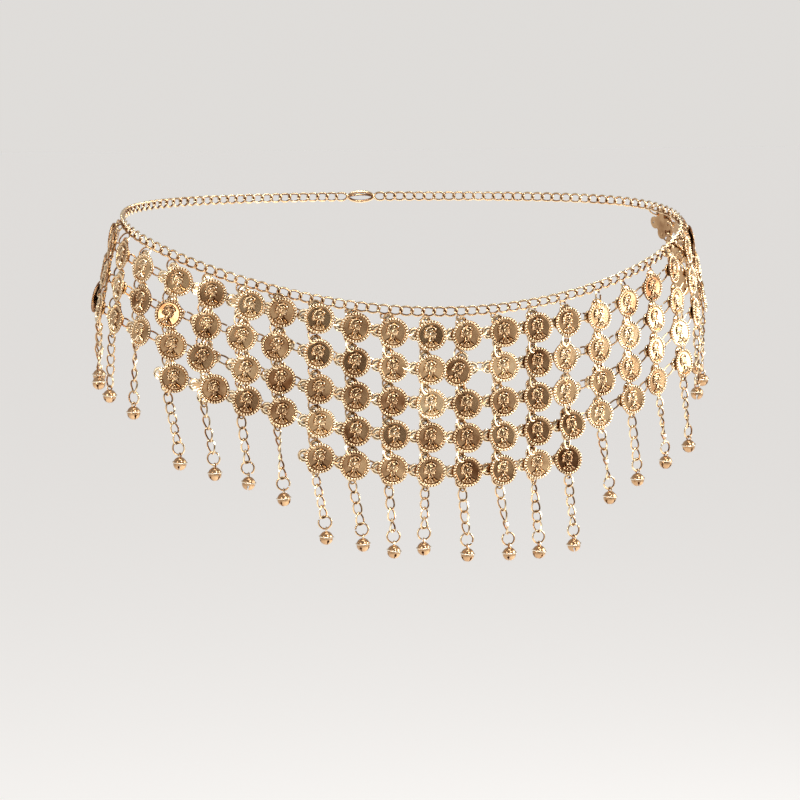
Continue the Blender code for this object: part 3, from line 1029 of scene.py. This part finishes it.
def drop_shapes(column, random):
    """A jump ring, twisted links and a larger ring, down from the lowest ear."""
    frame = drop_frame(column)
    yaw = random.uniform(-DROP_YAW, DROP_YAW)
    side = Vector((math.cos(yaw), 0, math.sin(yaw)))
    ring_low = Vector((0, -DROP_RING, 0))
    gap = random.uniform(*DROP_RING_GAP)
    ring = jump_ring(Vector((0, 0, 0)), ring_low, side, gap, DROP_RING_HALF_WIDTH)
    middle = Matrix.Translation(-side * DROP_RING_HALF_WIDTH / 2)
    shapes = [placed(ring, frame @ middle)]
    top = -DROP_RING + RING_WIRE + DROP_WIRE
    length = drop_length(column)
    bottom = -(length - 2 * END_RING_RADIUS)
    links = round((top - bottom) / DROP_LINK_PITCH)
    pitch = (top - bottom) / links
    half_length = pitch / 2 + DROP_WIRE
    link = wire(link_path(half_length, DROP_LINK_HALF_WIDTH, DROP_LINK_TWIST), DROP_WIRE, DROP_LINK_SIDES)
    turn = random.uniform(-DROP_TURN, DROP_TURN)
    step = random.uniform(-DROP_TURN_STEP, DROP_TURN_STEP)
    for number in range(links):
        middle = Matrix.Translation((0, top - half_length - number * pitch, 0))
        turned = middle @ Matrix.Rotation(turn, 4, "Y") @ Matrix.Rotation(math.pi / 2, 4, "Z")
        shapes.append(placed(link, frame @ turned))
        turn += step
    gap = random.uniform(0, 2 * math.pi)
    turns = np.linspace(gap + RING_GAP, gap + 2 * math.pi - RING_GAP, END_RING_STEPS)
    sideways = np.linspace(-END_RING_TIPS, END_RING_TIPS, END_RING_STEPS)
    middle_y = -length + END_RING_RADIUS
    path = np.stack(
        [END_RING_RADIUS * np.cos(turns), middle_y + END_RING_RADIUS * np.sin(turns), sideways], axis=1
    )
    shapes.append(placed(wire(path, DROP_WIRE, END_RING_SIDES, closed=False), frame))
    return shapes


def bell_ball():
    """A jingle bell's ball: two thin halves with a flange, and crossed slits with round ends below."""
    outer = [level_ring(radius, BELL_STEPS, height) for radius, height in BELL_PROFILE]
    points, faces = ringed(outer, BELL_TOP, BELL_LOW)
    inner = []
    for band in range(1, BELL_INSIDE_BANDS):
        turn = math.pi * band / BELL_INSIDE_BANDS
        height = BELL_INSIDE * math.cos(turn)
        inner.append(level_ring(BELL_INSIDE * math.sin(turn), BELL_INSIDE_STEPS, height))
    hollow, hollow_faces = ringed(inner, BELL_INSIDE, -BELL_INSIDE)
    faces = faces + [tuple(len(points) + corner for corner in reversed(face)) for face in hollow_faces]
    ball = object_from("bell_ball", np.concatenate([points, hollow]), faces)
    tools = []
    for quarter in range(2):
        cage = bmesh.new()
        turned = Matrix.Rotation(quarter * math.pi / 2, 4, "Z") @ Matrix.Translation((0, 0, SLIT_DROP))
        bmesh.ops.create_cube(cage, size=1, matrix=turned @ Matrix.Diagonal((*SLIT, 1)))
        tools.append(tool_object("slit", cage))
    for quarter in range(4):
        turned = Matrix.Rotation(quarter * math.pi / 2, 4, "Z")
        middle = turned @ Matrix.Translation((SLIT_END[0], 0, SLIT_END[1]))
        leant = middle @ Matrix.Rotation(SLIT_END_LEAN, 4, "Y")
        tools.append(drill(SLIT_END_RADIUS, SLIT_END_LENGTH, leant))
    shape = carved(ball, tools)
    radius = np.hypot(shape["points"][:, 0], shape["points"][:, 1])
    # The flange takes the ramp's palest tone and the rest of the ball a darker one
    shape["worn"] = np.where(radius > FLANGE_RADIUS, 1.0, BELL_TONE)
    return shape


def bell_shape(ball, turn, tilt):
    """The ball below the origin, turned and tilted about its middle, with the loop on the ring's wire."""
    upright = Matrix.Rotation(-math.pi / 2, 4, "X")
    turned = Matrix.Rotation(math.radians(tilt), 4, "Y") @ Matrix.Rotation(math.radians(turn), 4, "Z")
    ball = placed(ball, Matrix.Translation((0, -BELL_DROP, 0)) @ upright @ turned)
    turns = 2 * math.pi * np.arange(LOOP_STEPS) / LOOP_STEPS
    path = np.stack(
        [np.zeros(LOOP_STEPS), LOOP_RADIUS * np.sin(turns) - LOOP_LOWER, LOOP_RADIUS * np.cos(turns)], axis=1
    )
    return joined([ball, wire(path, LOOP_WIRE, LOOP_SIDES)])


def build_bells(material):
    ball = bell_ball()
    meshes = []
    for column in range(len(COLUMNS)):
        name = f"bell_{column + 1:02d}"
        piece = "jingle_" + name
        if column < len(BELL_TURNS):
            shape = bell_shape(ball, *BELL_TURNS[column])
            made = make_piece(piece, shape, material, name, [name], bell_frame(column))
            meshes.append(made.data)
        else:
            mesh = meshes[column * BELL_MIX % len(meshes)]
            add_piece(piece, mesh, name, [name], bell_frame(column))


def build_clasp(material):
    """A plain hook clasp: an oval loop of thick wire with a tongue, between the chain's ends."""
    places, links, pitch = chain_numbers()
    half = (places - links) * pitch / 2 - CLASP_CLEARANCE
    frame = frame_at(hip_point(math.pi, 0), Vector((-1, 0, 0)), Vector((0, 0, 1)))
    oval = link_path(half - CLASP_INSET, CLASP_HALF_HEIGHT, 0, CLASP_STEPS)
    tongue = [(share * half + further, height, out) for share, further, height, out in TONGUE]
    shapes = [wire(oval, CLASP_WIRE, CLASP_SIDES), wire(tongue, TONGUE_WIRE, TONGUE_SIDES, closed=False)]
    make_piece("hook_clasp", placed(joined(shapes), frame), material, "belt", ["clasp"])


# Stage


def build_stage():
    """A pale floor far below, as the belt hangs at the height of a hip."""
    cage = bmesh.new()
    bmesh.ops.create_grid(cage, x_segments=1, y_segments=1, size=FLOOR_SIZE)
    mesh = bpy.data.meshes.new("floor")
    cage.to_mesh(mesh)
    cage.free()
    floor = bpy.data.objects.new("floor", mesh)
    floor.location.z = FLOOR_HEIGHT
    bpy.context.scene.collection.objects.link(floor)
    material = bpy.data.materials.new("pale_floor")
    material.use_nodes = True
    shader = material.node_tree.nodes["Principled BSDF"]
    shader.inputs["Base Color"].default_value = FLOOR_COLOUR
    shader.inputs["Roughness"].default_value = 1.0
    shader.inputs["Emission Color"].default_value = (1, 1, 1, 1)
    shader.inputs["Emission Strength"].default_value = FLOOR_GLOW
    mesh.materials.append(material)


def build_world():
    """A studio that is bright at the sides and dark behind the camera, for the metal to reflect."""
    world = bpy.data.worlds.new("studio")
    bpy.context.scene.world = world
    world.use_nodes = True
    nodes, links = world.node_tree.nodes, world.node_tree.links
    background = nodes["Background"]
    place = nodes.new("ShaderNodeTexCoord")
    facing = nodes.new("ShaderNodeVectorMath")
    facing.operation = "DOT_PRODUCT"
    facing.inputs[1].default_value = (math.sin(DARK_AZIMUTH), -math.cos(DARK_AZIMUTH), 0)
    links.new(place.outputs["Generated"], facing.inputs[0])
    ramp = nodes.new("ShaderNodeValToRGB")
    fill_ramp(ramp, STUDIO)
    links.new(facing.outputs["Value"], ramp.inputs["Fac"])
    rays = nodes.new("ShaderNodeLightPath")
    seen = nodes.new("ShaderNodeMix")
    seen.data_type = "RGBA"
    links.new(rays.outputs["Is Camera Ray"], seen.inputs["Factor"])
    links.new(ramp.outputs["Color"], seen.inputs["A"])
    seen.inputs["B"].default_value = BACKDROP
    links.new(seen.outputs["Result"], background.inputs["Color"])


def build_lights():
    for name, place, size, power, colour in LIGHTS:
        data = bpy.data.lights.new(name, "AREA")
        data.shape = "RECTANGLE"
        data.size, data.size_y = size
        data.energy = power
        data.color = colour
        lamp = bpy.data.objects.new(name, data)
        lamp.location = place
        lamp.rotation_mode = "QUATERNION"
        lamp.rotation_quaternion = (Vector(LIGHT_TARGET) - Vector(place)).to_track_quat("-Z", "Y")
        bpy.context.scene.collection.objects.link(lamp)


def build_camera():
    right = Vector((math.cos(CAMERA_AZIMUTH), math.sin(CAMERA_AZIMUTH), 0))
    level = math.cos(CAMERA_ELEVATION)
    back = Vector(
        (math.sin(CAMERA_AZIMUTH) * level, -math.cos(CAMERA_AZIMUTH) * level, math.sin(CAMERA_ELEVATION))
    )
    up = back.cross(right)
    aim = right * AIM_RIGHT + up * AIM_UP
    data = bpy.data.cameras.new("camera")
    data.lens = CAMERA_LENS
    data.sensor_width = CAMERA_SENSOR
    camera = bpy.data.objects.new("camera", data)
    camera.location = back * CAMERA_DISTANCE
    camera.rotation_mode = "QUATERNION"
    camera.rotation_quaternion = (aim - camera.location).to_track_quat("-Z", "Y")
    bpy.context.scene.collection.objects.link(camera)
    bpy.context.scene.camera = camera


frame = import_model()

bpy.context.scene.view_settings.view_transform = "Standard"
build_camera()
build_stage()
build_world()
build_lights()

random = np.random.default_rng(SEED)
coin_gold = gold("coin_gold", COIN_TINT)
chain_gold = gold("chain_gold", CHAIN_TINT)
bell_gold = gold("bell_gold", BELL_TINT)
build_chain(chain_gold)
build_net(coin_gold, random)
build_bells(bell_gold)
build_clasp(chain_gold)
